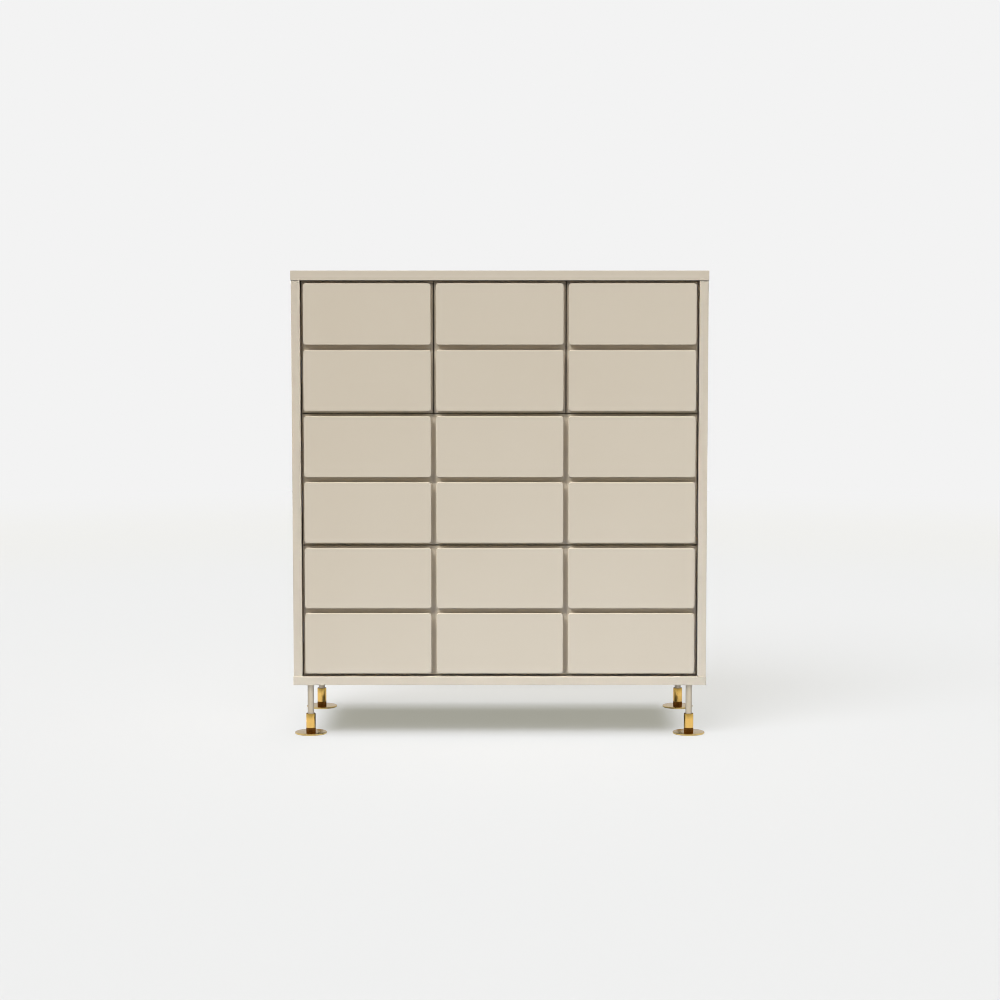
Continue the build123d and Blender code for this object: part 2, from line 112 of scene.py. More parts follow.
paleBackdrop = "#F3F3F3"
litChest = bpy.data.collections.new("litChest")
litBack = bpy.data.collections.new("litBack")  # the chest without its drawer fronts
litLevel = bpy.data.collections.new("litLevel")  # the top and the drawer boxes, too pale under the high keys
litPaper = bpy.data.collections.new("litPaper")
litLegs = bpy.data.collections.new("litLegs")
nearFloor = bpy.data.collections.new("nearFloor")  # what shades the paper from overhead
studio = dict(
    suns=(dict(name="leftKey", lights=litChest, strength=5.05, elevation=49, azimuth=50, spread=30),
          dict(name="rightKey", lights=litChest, strength=1.72, elevation=51, azimuth=-50, spread=34),
          dict(name="leftBackKey", lights=litBack, strength=2.3, elevation=15, azimuth=150, spread=40),
          dict(name="rightBackKey", lights=litBack, strength=1.87, elevation=15, azimuth=-150, spread=40),
          dict(name="levelSoftbox", lights=litLevel, strength=1.8, elevation=90, azimuth=0, spread=90),
          dict(name="leftLowKey", lights=litLevel, strength=2.52, elevation=10, azimuth=45, spread=40),
          dict(name="rightLowKey", lights=litLevel, strength=1.82, elevation=10, azimuth=-45, spread=40),
          dict(name="leftLowBack", lights=litLevel, strength=2.4, elevation=10, azimuth=135, spread=40),
          dict(name="rightLowBack", lights=litLevel, strength=1.9, elevation=10, azimuth=-135, spread=40),
          dict(name="overheadSoftbox", lights=litPaper, shadedBy=nearFloor, colour="#F3F5FF", strength=2.56,
               elevation=70, azimuth=0, spread=38),
          dict(name="paperKey", lights=litPaper, colour="#F3F5FF", strength=2.04,
               elevation=48, azimuth=35, spread=40),
          dict(name="paperBackLight", lights=litPaper, shadedBy=nearFloor, colour="#F3F5FF", strength=1.39,
               elevation=78, azimuth=180, spread=28),
          dict(name="frontLegFill", lights=litLegs, strength=2.65, elevation=14, azimuth=4, spread=50),
          dict(name="rearLegFill", lights=litLegs, strength=2.0, elevation=14, azimuth=176, spread=50)),
    skyHorizon=0.0, skyZenith=0.12, room="#C9C9D4",
    floorHalf=300000, paper="#C4C4C4", bounceNear="#8D98A5", bounceFar="#303030", bouncePlace=(450, -250),
    bounceFrom=700, bounceTo=1400, paperGlow=0.40, shadeTone="#EEECDB", fadeFrom=2500, fadeTo=6000,
    cardHalf=392, cardFront=-174, cardRear=160, cardHeight=114)


def lightSuns(size):
    for key in size["suns"]:
        sun = bpy.data.lights.new(key["name"], "SUN")
        sun.energy = key["strength"]
        sun.color = linear(key.get("colour", "#FFFFFF"))[:3]
        sun.angle = math.radians(key["spread"])
        up, turn = math.radians(key["elevation"]), math.radians(key["azimuth"])
        towards = Vector((-math.cos(up) * math.sin(turn), -math.cos(up) * math.cos(turn), math.sin(up)))
        lamp = bpy.data.objects.new(key["name"], sun)
        lamp.rotation_euler = towards.to_track_quat("Z", "Y").to_euler()
        lamp.light_linking.receiver_collection = key["lights"]
        lamp.light_linking.blocker_collection = key.get("shadedBy")
        lamp.visible_glossy = False
        scene.collection.objects.link(lamp)


def lightSky(size):
    # dim round the horizon and brighter overhead; metal sees a grey room and the camera the backdrop
    world = bpy.data.worlds.new("studioSky")
    world.use_nodes = True
    scene.world = world
    tree = world.node_tree
    tree.nodes.clear()
    seen = addNode(tree, "ShaderNodeLightPath").outputs
    clear = addNode(tree, "ShaderNodeMath", links={0: seen["Is Camera Ray"], 1: seen["Is Transmission Ray"]},
                    use_clamp=True)
    way = addNode(tree, "ShaderNodeTexCoord").outputs["Generated"]
    height = addNode(tree, "ShaderNodeSeparateXYZ", links={0: way}).outputs["Z"]
    level = addNode(tree, "ShaderNodeMapRange", {"To Min": size["skyHorizon"], "To Max": size["skyZenith"]},
                    {"Value": height})
    sky = addNode(tree, "ShaderNodeBackground", {"Color": linear("#FFFFFF")}, {"Strength": level.outputs[0]})
    room = addNode(tree, "ShaderNodeBackground", {"Color": linear(size["room"])})
    backdrop = addNode(tree, "ShaderNodeBackground", {"Color": linear(paleBackdrop)})
    mirrored = addNode(tree, "ShaderNodeMixShader",
                       links={0: seen["Is Glossy Ray"], 1: sky.outputs[0], 2: room.outputs[0]})
    either = addNode(tree, "ShaderNodeMixShader",
                     links={0: clear.outputs[0], 1: mirrored.outputs[0], 2: backdrop.outputs[0]})
    addNode(tree, "ShaderNodeOutputWorld", links={"Surface": either.outputs[0]})


def flatSheet(name, half, front, rear, height):  # a level rectangle in the studio, not a piece of the chest
    corners = ((-half, front), (half, front), (half, rear), (-half, rear))
    mesh = bpy.data.meshes.new(name)
    mesh.from_pydata([Vector((x, y, height)) * mm for x, y in corners], [], [(0, 1, 2, 3)])
    sheet = bpy.data.objects.new(name, mesh)
    scene.collection.objects.link(sheet)
    return sheet


def layFloor(size):  # matt paper that keeps the shadow and runs out into the backdrop
    half = size["floorHalf"]
    floor = flatSheet("paperFloor", half, -half, half, 0)
    litPaper.objects.link(floor)
    material = bpy.data.materials.new("seamlessPaper")
    material.use_nodes = True
    tree = material.node_tree
    tree.nodes.clear()
    seen = addNode(tree, "ShaderNodeLightPath").outputs
    direct = addNode(tree, "ShaderNodeMath", links={0: seen["Is Camera Ray"], 1: seen["Is Glossy Ray"]},
                     use_clamp=True)
    place = addNode(tree, "ShaderNodeTexCoord").outputs["Object"]
    away = addNode(tree, "ShaderNodeVectorMath", links={0: place}, operation="LENGTH").outputs["Value"]
    # to the camera the paper partly glows: near the chest a paperGlow share in the warm shade tone is a
    # painted lift and warm tint of its shadow, growing into the plain backdrop far away
    fade = addNode(tree, "ShaderNodeMapRange",
                   {"From Min": size["fadeFrom"] * mm, "From Max": size["fadeTo"] * mm}, {"Value": away},
                   interpolation_type="SMOOTHSTEP")
    rise = addNode(tree, "ShaderNodeMath", {1: 1 - size["paperGlow"], 2: size["paperGlow"]},
                   {0: fade.outputs[0]}, operation="MULTIPLY_ADD")
    share = addNode(tree, "ShaderNodeMath", links={0: seen["Is Camera Ray"], 1: rise.outputs[0]},
                    operation="MULTIPLY")
    shadowGlowTint = addNode(tree, "ShaderNodeMix", {mixA: linear(size["shadeTone"]), mixB: linear(paleBackdrop)},
                   {0: fade.outputs[0]}, data_type="RGBA")
    middle = [distance * mm for distance in size["bouncePlace"]] + [0]
    aside = addNode(tree, "ShaderNodeVectorMath", {1: middle}, {0: place}, operation="DISTANCE")
    far = addNode(tree, "ShaderNodeMapRange",
                  {"From Min": size["bounceFrom"] * mm, "From Max": size["bounceTo"] * mm},
                  {"Value": aside.outputs["Value"]}, interpolation_type="SMOOTHSTEP")
    bounce = addNode(tree, "ShaderNodeMix",
                     {mixA: linear(size["bounceNear"]), mixB: linear(size["bounceFar"])},
                     {0: far.outputs[0]}, data_type="RGBA")
    tone = addNode(tree, "ShaderNodeMix", {mixB: linear(size["paper"])},
                   {0: direct.outputs[0], mixA: bounce.outputs[mixOut]}, data_type="RGBA")
    paper = addNode(tree, "ShaderNodeBsdfDiffuse", links={"Color": tone.outputs[mixOut]})
    glow = addNode(tree, "ShaderNodeEmission", links={"Color": shadowGlowTint.outputs[mixOut]})
    both = addNode(tree, "ShaderNodeMixShader",
                   links={0: share.outputs[0], 1: paper.outputs[0], 2: glow.outputs[0]})
    addNode(tree, "ShaderNodeOutputMaterial", links={"Surface": both.outputs[0]})
    floor.data.materials.append(material)


def hangCard(size):  # hidden in the bottom panel; it and the feet alone shade the paper from overhead
    card = flatSheet("shadowCard", size["cardHalf"], size["cardFront"], size["cardRear"], size["cardHeight"])
    nearFloor.objects.link(card)


lightSuns(studio)
lightSky(studio)
layFloor(studio)
hangCard(studio)
print("studio lit")

# Materials


def newMaterial(name):
    material = bpy.data.materials.new(name)
    material.use_nodes = True
    tree = material.node_tree
    place = addNode(tree, "ShaderNodeTexCoord").outputs
    return material, tree, tree.nodes["Principled BSDF"], place


def coat(tree, shader, colour, gloss, bump, **values):  # joins a finish to the shader
    for name, value in values.items():
        shader.inputs[name].default_value = value
    tree.links.new(colour.outputs[mixOut], shader.inputs["Base Color"])
    tree.links.new(gloss.outputs[0], shader.inputs["Roughness"])
    tree.links.new(bump.outputs[0], shader.inputs["Normal"])


lacquerLook = dict(base="#CFC4B1", shade="#CBBFAB", patch=240, peel=2.5, peelHeight=0.012,
                   satin=(0.40, 0.48), ior=1.5)


def makeLacquer(name, look):
    # satin polyurethane lacquer sprayed on board: an even warm greige with a broad soft sheen,
    # cloudy by a shade over a hand's width, and a faint orange peel in the gloss
    material, tree, shader, place = newMaterial(name)
    cloud = addNode(tree, "ShaderNodeTexNoise", {"Scale": 1 / (look["patch"] * mm), "Detail": 2},
                    {"Vector": place["Object"]}).outputs[0]
    tint = addNode(tree, "ShaderNodeMix", {mixA: linear(look["base"]), mixB: linear(look["shade"])},
                   {0: cloud}, data_type="RGBA")
    peel = addNode(tree, "ShaderNodeTexNoise", {"Scale": 1 / (look["peel"] * mm), "Detail": 1},
                   {"Vector": place["Object"]}).outputs[0]
    gloss = addNode(tree, "ShaderNodeMapRange", {"To Min": look["satin"][0], "To Max": look["satin"][1]},
                    {"Value": peel})
    bump = addNode(tree, "ShaderNodeBump", {"Distance": look["peelHeight"] * mm}, {"Height": peel})
    coat(tree, shader, tint, gloss, bump, IOR=look["ior"])
    return material


brassLook = dict(base="#F6CB70", worn="#EABA64", smudge=16, turning=0.8, turningHeight=0.002,
                 polish=(0.10, 0.20), topTone="#C9A552", topToneFrom=32, topToneTo=42)
discLook = dict(brassLook, base="#F2D68A", worn="#E6C57C", polish=(0.16, 0.24))
# the knurled band is given a dark brown brass colour
bandLook = dict(brassLook, base="#96662C", worn="#5E3C14", smudge=2.5, turningHeight=0.004,
                polish=(0.22, 0.38))


def makeBrass(name, look):
    # turned and polished brass: a clear warm mirror with fine lathe rings and faint finger smudges, its
    # colour turning darker and more olive towards the top of the sleeve; the disc is brushed, and the band
    # is a dark brown brass
    material, tree, shader, place = newMaterial(name)
    smudge = addNode(tree, "ShaderNodeTexNoise", {"Scale": 1 / (look["smudge"] * mm), "Detail": 4},
                     {"Vector": place["Object"]}).outputs[0]
    tint = addNode(tree, "ShaderNodeMix", {mixA: linear(look["base"]), mixB: linear(look["worn"])},
                   {0: smudge}, data_type="RGBA")
    high = addNode(tree, "ShaderNodeSeparateXYZ", links={0: place["Object"]}).outputs["Z"]
    # towards the sleeve's top the colour is mixed into a darker, more olive tone
    mouth = addNode(tree, "ShaderNodeMapRange",
                    {"From Min": look["topToneFrom"] * mm, "From Max": look["topToneTo"] * mm},
                    {"Value": high})
    toned = addNode(tree, "ShaderNodeMix", {mixB: linear(look["topTone"])},
                   {0: mouth.outputs[0], mixA: tint.outputs[mixOut]}, data_type="RGBA")
    gloss = addNode(tree, "ShaderNodeMapRange", {"To Min": look["polish"][0], "To Max": look["polish"][1]},
                    {"Value": smudge})
    path = addNode(tree, "ShaderNodeAttribute", attribute_name="turning").outputs["Fac"]
    ring = addNode(tree, "ShaderNodeMath", {1: 2 * math.pi / (look["turning"] * mm)}, {0: path},
                   operation="MULTIPLY")
    wave = addNode(tree, "ShaderNodeMath", links={0: ring.outputs[0]}, operation="SINE")
    bump = addNode(tree, "ShaderNodeBump", {"Distance": look["turningHeight"] * mm},
                   {"Height": wave.outputs[0]})
    coat(tree, shader, toned, gloss, bump, Metallic=1)
    return material


plyLook = dict(early="#E2CCA6", late="#CDB083", edgeDark="#A88558", grainWidth=5, grainLength=140,
               waviness=0.6, lateFrom=0.35, lateTo=0.68, pore=0.6, poreLength=14, poreHeight=0.03,
               veneer=1.5, veneerBlur=0.3, faceFrom=0.7, sheen=(0.42, 0.56), ior=1.5)


def makePlywood(name, look, through, along):
    # clear-lacquered birch plywood: pale cathedral grain on the faces, and thin light and dark veneer lines
    # wherever the edge is cut; through is the axis of the thickness, along the axis of the grain
    material, tree, shader, place = newMaterial(name)
    axes = "XYZ"
    grainScale = [1 / (look["grainWidth"] * mm)] * 3
    grainScale[axes.index(along)] = 1 / (look["grainLength"] * mm)
    poreScale = [1 / (look["pore"] * mm)] * 3
    poreScale[axes.index(along)] = 1 / (look["poreLength"] * mm)
    stretched = addNode(tree, "ShaderNodeMapping", {"Scale": grainScale}, {"Vector": place["Object"]})
    grain = addNode(tree, "ShaderNodeTexNoise", {"Scale": 1, "Detail": 5, "Distortion": look["waviness"]},
                    {"Vector": stretched.outputs[0]}).outputs[0]
    needle = addNode(tree, "ShaderNodeMapping", {"Scale": poreScale}, {"Vector": place["Object"]})
    pore = addNode(tree, "ShaderNodeTexNoise", {"Scale": 1, "Detail": 2},
                   {"Vector": needle.outputs[0]}).outputs[0]
    contrast = addNode(tree, "ShaderNodeMapRange",
                       {"From Min": look["lateFrom"], "From Max": look["lateTo"]}, {"Value": grain})
    face = addNode(tree, "ShaderNodeMix", {mixA: linear(look["early"]), mixB: linear(look["late"])},
                   {0: contrast.outputs[0]}, data_type="RGBA")
    depth = addNode(tree, "ShaderNodeSeparateXYZ", links={0: place["Object"]}).outputs[through]
    turns = addNode(tree, "ShaderNodeMath", {1: math.pi / (look["veneer"] * mm)}, {0: depth},
                    operation="MULTIPLY")
    layers = addNode(tree, "ShaderNodeMath", links={0: turns.outputs[0]}, operation="SINE")
    stripe = addNode(tree, "ShaderNodeMapRange",
                     {"From Min": -look["veneerBlur"], "From Max": look["veneerBlur"]},
                     {"Value": layers.outputs[0]})
    edge = addNode(tree, "ShaderNodeMix", {mixA: linear(look["early"]), mixB: linear(look["edgeDark"])},
                   {0: stripe.outputs[0]}, data_type="RGBA")
    facing = addNode(tree, "ShaderNodeSeparateXYZ", links={0: place["Normal"]}).outputs[through]
    broad = addNode(tree, "ShaderNodeMath", links={0: facing}, operation="ABSOLUTE")
    isFace = addNode(tree, "ShaderNodeMath", {1: look["faceFrom"]}, {0: broad.outputs[0]},
                     operation="GREATER_THAN")
    either = addNode(tree, "ShaderNodeMix", links={0: isFace.outputs[0], mixA: edge.outputs[mixOut],
                                                   mixB: face.outputs[mixOut]}, data_type="RGBA")
    gloss = addNode(tree, "ShaderNodeMapRange", {"To Min": look["sheen"][0], "To Max": look["sheen"][1]},
                    {"Value": pore})
    bump = addNode(tree, "ShaderNodeBump", {"Distance": look["poreHeight"] * mm}, {"Height": pore})
    coat(tree, shader, either, gloss, bump, IOR=look["ior"])
    return material


beechLook = dict(plyLook, early="#D9B68A", late="#C79C6C", edgeDark="#B98B5A", grainWidth=3, grainLength=60,
                 pore=0.4, poreLength=3, poreHeight=0.02, veneer=40, sheen=(0.5, 0.65))
hardboardLook = dict(base="#C6B79F", fleck="#B5A58B", grain=1.2, grainHeight=0.03,
                     rough=(0.5, 0.62), ior=1.5)
drawerBoardLook = dict(base="#DCCFB8", fleck="#CFC0A5", grain=0.9, grainHeight=0.04,
                       rough=(0.45, 0.6), ior=1.5)
greyPlasticLook = dict(base="#8B8D8E", fleck="#808283", grain=0.35, grainHeight=0.015,
                       rough=(0.42, 0.55), ior=1.48)
whitePlasticLook = dict(base="#E8E6E0", fleck="#DEDBD3", grain=0.35, grainHeight=0.01,
                        rough=(0.3, 0.42), ior=1.48)


def makeGrained(name, look):
    # boards of pressed fibre under a thin coat, and moulded plastics from a spark-eroded tool:
    # one colour with a fine fleck and a matching fine grain in the gloss
    material, tree, shader, place = newMaterial(name)
    grain = addNode(tree, "ShaderNodeTexNoise", {"Scale": 1 / (look["grain"] * mm), "Detail": 3},
                    {"Vector": place["Object"]}).outputs[0]
    tint = addNode(tree, "ShaderNodeMix", {mixA: linear(look["base"]), mixB: linear(look["fleck"])},
                   {0: grain}, data_type="RGBA")
    gloss = addNode(tree, "ShaderNodeMapRange", {"To Min": look["rough"][0], "To Max": look["rough"][1]},
                    {"Value": grain})
    bump = addNode(tree, "ShaderNodeBump", {"Distance": look["grainHeight"] * mm}, {"Height": grain})
    coat(tree, shader, tint, gloss, bump, IOR=look["ior"])
    return material


zincLook = dict(base="#C8CBCE", cloud="#AEB3B8", spangle=6, rolling=0.5, rollingLength=60,
                rollingHeight=0.004, polish=(0.26, 0.42))


def makeZinc(name, look):
    # bright zinc plating on rolled steel: a cool grey mirror blurred along the rolling, with pale clouds
    material, tree, shader, place = newMaterial(name)
    rollScale = (1 / (look["rolling"] * mm), 1 / (look["rollingLength"] * mm), 1 / (look["rolling"] * mm))
    stretched = addNode(tree, "ShaderNodeMapping", {"Scale": rollScale}, {"Vector": place["Object"]})
    rolled = addNode(tree, "ShaderNodeTexNoise", {"Scale": 1, "Detail": 3},
                     {"Vector": stretched.outputs[0]}).outputs[0]
    cloud = addNode(tree, "ShaderNodeTexNoise", {"Scale": 1 / (look["spangle"] * mm), "Detail": 2},
                    {"Vector": place["Object"]}).outputs[0]
    tint = addNode(tree, "ShaderNodeMix", {mixA: linear(look["base"]), mixB: linear(look["cloud"])},
                   {0: cloud}, data_type="RGBA")
    gloss = addNode(tree, "ShaderNodeMapRange", {"To Min": look["polish"][0], "To Max": look["polish"][1]},
                    {"Value": rolled})
    bump = addNode(tree, "ShaderNodeBump", {"Distance": look["rollingHeight"] * mm}, {"Height": rolled})
    coat(tree, shader, tint, gloss, bump, Metallic=1)
    return material


postLook = dict(lacquerLook, base="#D5C6AC", shade="#D1C1A6", satin=(0.32, 0.40), peel=1.6)
lacquer = makeLacquer("satinLacquer", lacquerLook)
postLacquer = makeLacquer("lacqueredSteel", postLook)
brass = makeBrass("polishedBrass", brassLook)
discBrass = makeBrass("brushedBrass", discLook)
bandBrass = makeBrass("darkenedBrass", bandLook)
plySides = makePlywood("birchPlywoodSides", plyLook, "X", "Y")
plyBacks = makePlywood("birchPlywoodBacks", plyLook, "Y", "X")
beech = makePlywood("turnedBeech", beechLook, "Z", "X")
zinc = makeZinc("zincPlatedSteel", zincLook)
finishes = {
    "greige_lacquer": lacquer,
    "lacquered_steel": postLacquer,
    "polished_brass": brass,
    "birch_plywood": plySides,
    "beech": beech,
    "zinc_plated_steel": zinc,
    "back_board": makeGrained("paintedHardboard", hardboardLook),
    "drawer_board": makeGrained("coatedDrawerBoard", drawerBoardLook),
    "grey_plastic": makeGrained("greyAcetal", greyPlasticLook),
    "white_plastic": makeGrained("whiteAcetal", whitePlasticLook),
}
for name, node in nodes.items():
    finish = finishes[node.data.materials[0].name]
    node.data.materials[0] = plyBacks if name.endswith("_drawer_back") else finish
print("materials made:", len(bpy.data.materials))

# Tools for the meshes


def newTree(name, sockets):
    tree = bpy.data.node_groups.new(name, "GeometryNodeTree")
    for label, kind in sockets.items():
        tree.interface.new_socket(label, in_out="INPUT", socket_type="NodeSocket" + kind)
    tree.interface.new_socket("Geometry", in_out="OUTPUT", socket_type="NodeSocketGeometry")
    return tree, addNode(tree, "NodeGroupInput").outputs


def grow(name, tree, values, base=None):  # runs a tree once and keeps its result as a plain mesh
    piece = bpy.data.objects.new(name, base or bpy.data.meshes.new(name))
    scene.collection.objects.link(piece)
    modifier = piece.modifiers.new(tree.name, "NODES")
    modifier.node_group = tree
    for socket in tree.interface.items_tree:
        if socket.in_out == "INPUT" and socket.name in values:
            modifier[socket.identifier] = values[socket.name]
    graph = bpy.context.evaluated_depsgraph_get()
    mesh = bpy.data.meshes.new_from_object(piece.evaluated_get(graph), depsgraph=graph)
    piece.modifiers.clear()
    piece.data = mesh
    mesh.name = name
    return piece


def closeShell(mesh, weld=0.002, crease=35):  # welds, turns faces outwards and shades round parts smooth
    shell = bmesh.new()
    shell.from_mesh(mesh)
    bmesh.ops.remove_doubles(shell, verts=shell.verts, dist=weld * mm)
    bmesh.ops.recalc_face_normals(shell, faces=shell.faces)
    for face in shell.faces:
        face.smooth = True
    openEdges = sum(not edge.is_manifold for edge in shell.edges)
    shell.to_mesh(mesh)
    shell.free()
    mesh.set_sharp_from_angle(angle=math.radians(crease))
    return openEdges


def mould(name, shell):  # a mesh that the trees repeat; it isn't a piece itself
    mesh = bpy.data.meshes.new(name)
    shell.to_mesh(mesh)
    shell.free()
    return bpy.data.objects.new(name, mesh)


def bridge(shell, rings):  # quads between rings of equal length
    for low, high in zip(rings, rings[1:]):
        for i in range(len(low)):
            j = (i + 1) % len(low)
            shell.faces.new((low[i], low[j], high[j], high[i]))


def quarter(steps):  # cosines and sines of a quarter turn
    return [(math.cos(math.pi / 2 * k / steps), math.sin(math.pi / 2 * k / steps)) for k in range(steps + 1)]


def roundedRing(shell, width, height, corner, steps, y):  # a rectangle with round corners, facing -Y
    points = []
    for sideX, sideZ, start in ((1, 1, 0), (-1, 1, 1), (-1, -1, 2), (1, -1, 3)):
        for k in range(steps + 1):
            angle = math.pi / 2 * (start + k / steps)
            x = sideX * (width / 2 - corner) + corner * math.cos(angle)
            z = sideZ * (height / 2 - corner) + corner * math.sin(angle)
            points.append(shell.verts.new(Vector((x, y, z)) * mm))
    return points


def turned(profile, steps):  # a closed turning about Z from (radius, height) in mm
    shell = bmesh.new()
    along = shell.verts.layers.float.new("turning")  # the way along the profile, for the lathe rings
    travelled = 0
    rings = []
    for i, (radius, height) in enumerate(profile):
        if i:
            travelled += math.dist(profile[i - 1], profile[i])
        count = steps if radius else 1
        ring = []
        for k in range(count):
            angle = 2 * math.pi * k / steps
            place = Vector((radius * math.cos(angle), radius * math.sin(angle), height)) * mm
            ring.append(shell.verts.new(place))
            ring[-1][along] = travelled * mm
        rings.append(ring)
    for low, high in zip(rings, rings[1:]):
        for k in range(steps):
            j = (k + 1) % steps
            corners = (low[k % len(low)], low[j % len(low)], high[j % len(high)], high[k % len(high)])
            shell.faces.new(dict.fromkeys(corners))
    bmesh.ops.recalc_face_normals(shell, faces=shell.faces)
    return shell


def dress(piece, body, slot, *replaced):
    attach(piece, body)
    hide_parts(*replaced)


# Drawer fronts: raised pads in a grid, parted by milled grooves, on one lacquered board

frontSize = dict(rows=2, wideColumns=3, wideFrom=2, ledge=4.5, groove=11.5, grooveDepth=12, padCorner=6,
                 padEdge=0.5, cove=0.8, rim=0.5, edgeHold=1.0, floorHold=0.4, cornerSteps=8, roundSteps=5)


def padMould(width, height, size):
    shell = bmesh.new()
    edge, cove, depth = size["padEdge"], size["cove"], size["grooveDepth"]
    steps = [(-edge - size["edgeHold"], -depth)]
    steps += [(-edge + edge * s, -depth + edge - edge * c) for c, s in quarter(size["roundSteps"])]
    steps += [(cove - cove * c, -cove + cove * s) for c, s in quarter(size["roundSteps"])]
    steps += [(cove + size["floorHold"], 0)]
    rings = []
    for out, y in steps:
        rings.append(roundedRing(shell, width + 2 * out, height + 2 * out, size["padCorner"] + out,
                                 size["cornerSteps"], y))
    bridge(shell, rings)
    shell.faces.new(rings[0])
    return mould("pad", shell)


def rimMould(width, height, thickness, size):  # the board's edges and back, open at the groove floor
    shell = bmesh.new()
    rim = size["rim"]
    steps = [(-rim + rim * s, rim - rim * c) for c, s in quarter(size["roundSteps"])]
    steps += [(-rim + rim * c, thickness - rim + rim * s) for c, s in quarter(size["roundSteps"])]
    rings = []
    for out, y in steps:
        halfX, halfZ = width / 2 + out, height / 2 + out
        corners = ((halfX, halfZ), (-halfX, halfZ), (-halfX, -halfZ), (halfX, -halfZ))
        rings.append([shell.verts.new(Vector((x, y, z)) * mm) for x, z in corners])
    bridge(shell, rings)
    shell.faces.new(rings[-1])
    return mould("rim", shell)


def frontTree():
    tree, given = newTree("paddedFront", {
        "Pad": "Object", "Rim": "Object", "Columns": "Int", "Rows": "Int",
        "Span X": "Float", "Span Z": "Float", "Hole width": "Float", "Hole height": "Float",
        "Hole corner": "Float", "Corner steps": "Int", "Floor width": "Float", "Floor height": "Float",
        "Centre": "Vector", "Lacquer": "Material"})
    upright = {"Rotation": (math.pi / 2, 0, 0)}
    grid = addNode(tree, "GeometryNodeMeshGrid", links={
        "Size X": given["Span X"], "Size Y": given["Span Z"],
        "Vertices X": given["Columns"], "Vertices Y": given["Rows"]}).outputs["Mesh"]
    pad = addNode(tree, "GeometryNodeObjectInfo", links={"Object": given["Pad"]}).outputs["Geometry"]
    standing = addNode(tree, "GeometryNodeTransform", upright, {"Geometry": grid}).outputs[0]
    pads = addNode(tree, "GeometryNodeInstanceOnPoints",
                   links={"Points": standing, "Instance": pad}).outputs[0]
    outline = addNode(tree, "GeometryNodeCurvePrimitiveQuadrilateral", links={
        "Width": given["Hole width"], "Height": given["Hole height"]}).outputs[0]
    hole = addNode(tree, "GeometryNodeFilletCurve", links={
        "Curve": outline, "Count": given["Corner steps"], "Radius": given["Hole corner"]},
        mode="POLY").outputs[0]
    holes = addNode(tree, "GeometryNodeInstanceOnPoints",
                    links={"Points": grid, "Instance": hole}).outputs[0]
    cut = addNode(tree, "GeometryNodeRealizeInstances", links={"Geometry": holes}).outputs[0]
    border = addNode(tree, "GeometryNodeCurvePrimitiveQuadrilateral", links={
        "Width": given["Floor width"], "Height": given["Floor height"]}).outputs[0]
    lines = addNode(tree, "GeometryNodeJoinGeometry", links={0: border})
    tree.links.new(cut, lines.inputs[0])
    flat = addNode(tree, "GeometryNodeFillCurve", links={"Curve": lines.outputs[0]}).outputs[0]
    ground = addNode(tree, "GeometryNodeTransform", upright, {"Geometry": flat}).outputs[0]
    rim = addNode(tree, "GeometryNodeObjectInfo", links={"Object": given["Rim"]}).outputs["Geometry"]
    whole = addNode(tree, "GeometryNodeJoinGeometry", links={0: rim})
    tree.links.new(pads, whole.inputs[0])
    tree.links.new(ground, whole.inputs[0])
    placed = addNode(tree, "GeometryNodeTransform",
                     links={"Geometry": whole.outputs[0], "Translation": given["Centre"]}).outputs[0]
    real = addNode(tree, "GeometryNodeRealizeInstances", links={"Geometry": placed}).outputs[0]
    painted = addNode(tree, "GeometryNodeSetMaterial",
                      links={"Geometry": real, "Material": given["Lacquer"]}).outputs[0]
    addNode(tree, "NodeGroupOutput", links={0: painted})
    return tree


def makeFront(drawer, tree, size):
    node = drawer + "_drawer_front"
    low, high = [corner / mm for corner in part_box(node)]
    width, height = high.x - low.x, high.z - low.z
    columns = size["wideColumns"] if width > size["wideFrom"] * height else 1
    padWidth = (width - 2 * size["ledge"] - (columns - 1) * size["groove"]) / columns
    padHeight = (height - 2 * size["ledge"] - (size["rows"] - 1) * size["groove"]) / size["rows"]
    pad = padMould(padWidth, padHeight, size)
    rim = rimMould(width, height, high.y - low.y - size["grooveDepth"], size)
    skirt = size["cove"] + size["floorHold"]
    front = grow(drawer + "_padded_front", tree, {
        "Pad": pad, "Rim": rim, "Columns": columns, "Rows": size["rows"],
        "Span X": (columns - 1) * (padWidth + size["groove"]) * mm,
        "Span Z": (size["rows"] - 1) * (padHeight + size["groove"]) * mm,
        "Hole width": (padWidth + 2 * skirt) * mm, "Hole height": (padHeight + 2 * skirt) * mm,
        "Hole corner": (size["padCorner"] + skirt) * mm, "Corner steps": size["cornerSteps"],
        "Floor width": (width - 2 * size["rim"]) * mm, "Floor height": (height - 2 * size["rim"]) * mm,
        "Centre": Vector(((low.x + high.x) / 2, low.y + size["grooveDepth"], (low.z + high.z) / 2)) * mm,
        "Lacquer": lacquer})
    openEdges = closeShell(front.data)
    bpy.data.objects.remove(pad)
    bpy.data.objects.remove(rim)
    dress(front, drawer + "_drawer", "greige_lacquer", node)
    print(front.name, columns, "x", size["rows"], "pads, open edges:", openEdges)


paddedFront = frontTree()
for drawer in drawers:
    makeFront(drawer, paddedFront, frontSize)

# Feet: turned brass, each a thin disc, a knurled band and a bored sleeve

footSize = dict(discRadius=35, discHeight=3.5, discRound=1.0, discBevel=1.0, discMargin=1,
                sleeveRadius=10.5, sleeveTop=44.5, rimRound=0.5, bandTop=12, bandDepth=0.6,
                neckHeight=1.0, neckDepth=0.5, neckEase=0.2, neckFlare=0.1,
                counterRadius=9.3, counterDepth=4, boreRadius=7.05, boreFloor=10,
                ridges=40, ridgeSink=0.2, ridgeEase=0.5, ridgeEnd=0.4, steps=96, roundSteps=4)


